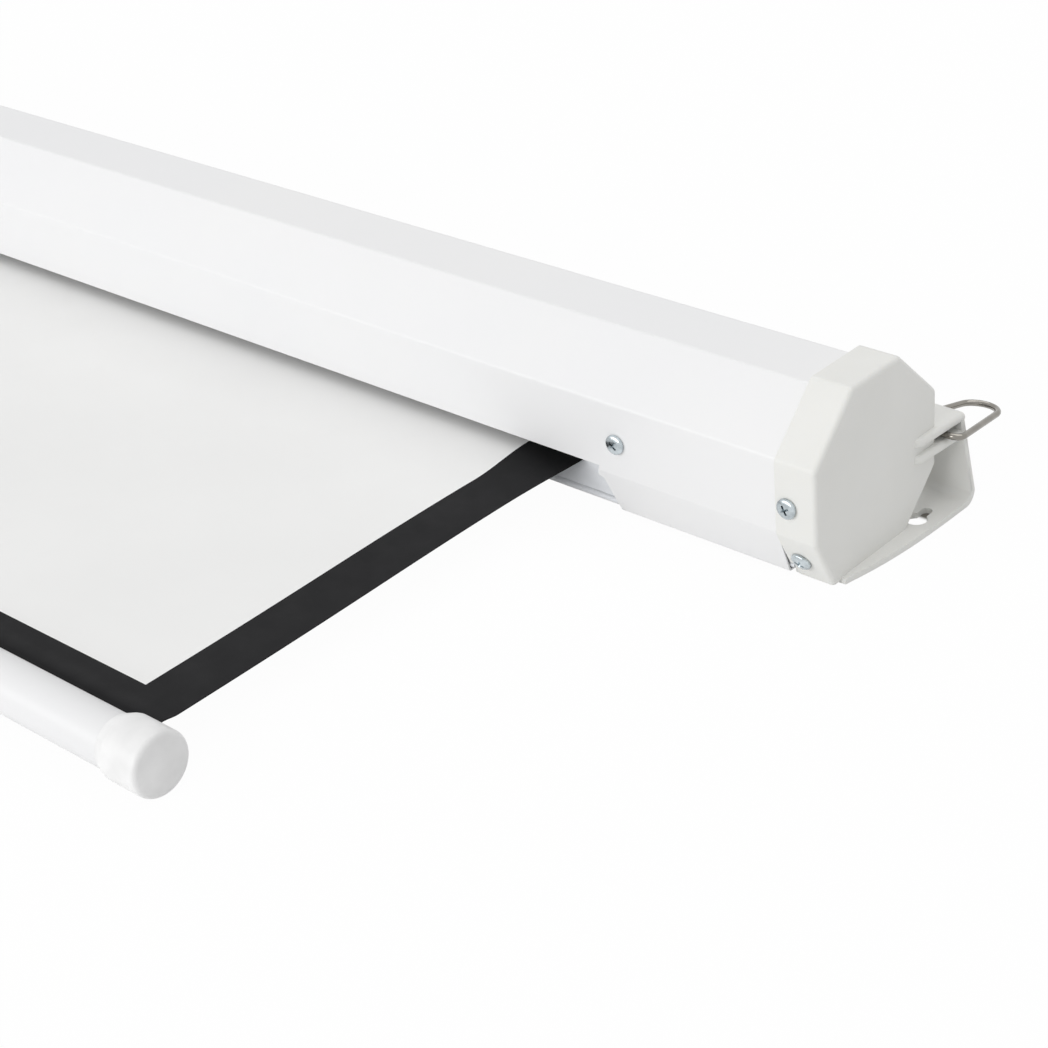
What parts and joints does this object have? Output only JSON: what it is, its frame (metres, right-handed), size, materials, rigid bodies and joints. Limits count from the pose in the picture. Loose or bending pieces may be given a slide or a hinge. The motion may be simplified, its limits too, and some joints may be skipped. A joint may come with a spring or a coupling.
{
  "type": "motorized projector screen",
  "caption": "Motorized projector screen: folded octagonal case, moulded end caps with hanging bails, white cloth with a black border, round bottom bar, tubular motor roller.",
  "frame": {"origin": "in the plane of the wall or floor, under the middle of the box round the whole screen", "axes": "+X along the case towards the idler end, +Y up when it hangs, +Z out of the wall into the room"},
  "size_m": [2.0386, 0.3803, 0.0821],
  "materials": {
    "white_paint": "smooth satin powder coat",
    "cap_plastic": "moulded, fine matt texture",
    "zinc_steel": "zinc plated",
    "bright_wire": "nickel plated wire",
    "aluminium": "mill finish",
    "cloth": "matt white projection cloth",
    "black_plastic": "moulded",
    "grey_plastic": "moulded",
    "bronze": "sintered",
    "steel": "bright steel",
    "motor_body": "bright drawn tube",
    "board_green": "solder mask",
    "terminal_green": "moulded",
    "relay_blue": "moulded",
    "dial_red": "moulded",
    "dial_white": "moulded",
    "lead_white": "soft sheath"
  },
  "bodies": {
    "case": {"case_shell": "white_paint", "slot_rail": "aluminium", "end_cap_left": "cap_plastic", "end_cap_right": "cap_plastic", "idler_bracket": "zinc_steel", "motor_bracket": "zinc_steel", "idler_pin": "steel", "idler_pin_nut": "zinc_steel", "motor_head": "black_plastic", "motor_housing": "motor_body", "motor_lead": "lead_white", "mains_lead": "lead_white", "motor_screw_front": "zinc_steel", "motor_screw_back": "zinc_steel", "control_box": "black_plastic", "control_lid": "black_plastic", "control_board": "board_green", "terminal_block": "terminal_green", "relay": "relay_blue", "cable_gland": "grey_plastic", "gland_nut": "grey_plastic", "cap_screw_front_left": "zinc_steel", "cap_screw_facet_left": "zinc_steel", "cap_screw_front_right": "zinc_steel", "cap_screw_facet_right": "zinc_steel", "case_screw_front_left": "zinc_steel", "case_screw_back_left": "zinc_steel", "case_screw_front_right": "zinc_steel", "case_screw_back_right": "zinc_steel", "screen_cloth": "cloth"},
    "roller": {"roller_tube": "aluminium", "cloth_roll": "cloth", "idler_plug": "grey_plastic", "idler_bush": "bronze", "limit_ring": "grey_plastic", "motor_shaft": "steel", "drive_wheel": "grey_plastic"},
    "bottom_bar": {"bottom_bar_tube": "white_paint", "cloth_keeper_rod": "grey_plastic", "bar_cap_left": "cap_plastic", "bar_cap_right": "cap_plastic"},
    "bail_left": {"bail_left": "bright_wire"},
    "bail_right": {"bail_right": "bright_wire"},
    "limit_screw_up": {"limit_screw_up": "dial_red"},
    "limit_screw_down": {"limit_screw_down": "dial_white"}
  },
  "joints": [
    {"name": "screen_drop", "type": "slide", "parent": "case", "child": "bottom_bar", "axis": [0, -1, 0], "range_m": [-0.228, 1.13], "deforming": ["screen_cloth"]},
    {"name": "roller_turn", "type": "hinge", "parent": "case", "child": "roller", "pos_m": [0, 0.1003, 0.041], "axis": [-1, 0, 0], "range_deg": [-520, 2580]},
    {"name": "bail_right_swing", "type": "hinge", "parent": "case", "child": "bail_right", "pos_m": [1.0047, 0.1453, 0.0351], "axis": [1, 0, 0], "range_deg": [0, 102]},
    {"name": "bail_left_swing", "type": "hinge", "parent": "case", "child": "bail_left", "pos_m": [-1.0047, 0.1453, 0.0351], "axis": [1, 0, 0], "range_deg": [0, 102]},
    {"name": "limit_screw_up_turn", "type": "hinge", "parent": "case", "child": "limit_screw_up", "pos_m": [-0.8997, 0.1068, 0.0515], "axis": [1, 0, 0], "continuous": true},
    {"name": "limit_screw_down_turn", "type": "hinge", "parent": "case", "child": "limit_screw_down", "pos_m": [-0.8997, 0.0938, 0.0515], "axis": [1, 0, 0], "continuous": true}
  ],
  "couplings": [
    {"joint": "roller_turn", "follows": "screen_drop", "rad_per_m": 39.682}
  ]
}
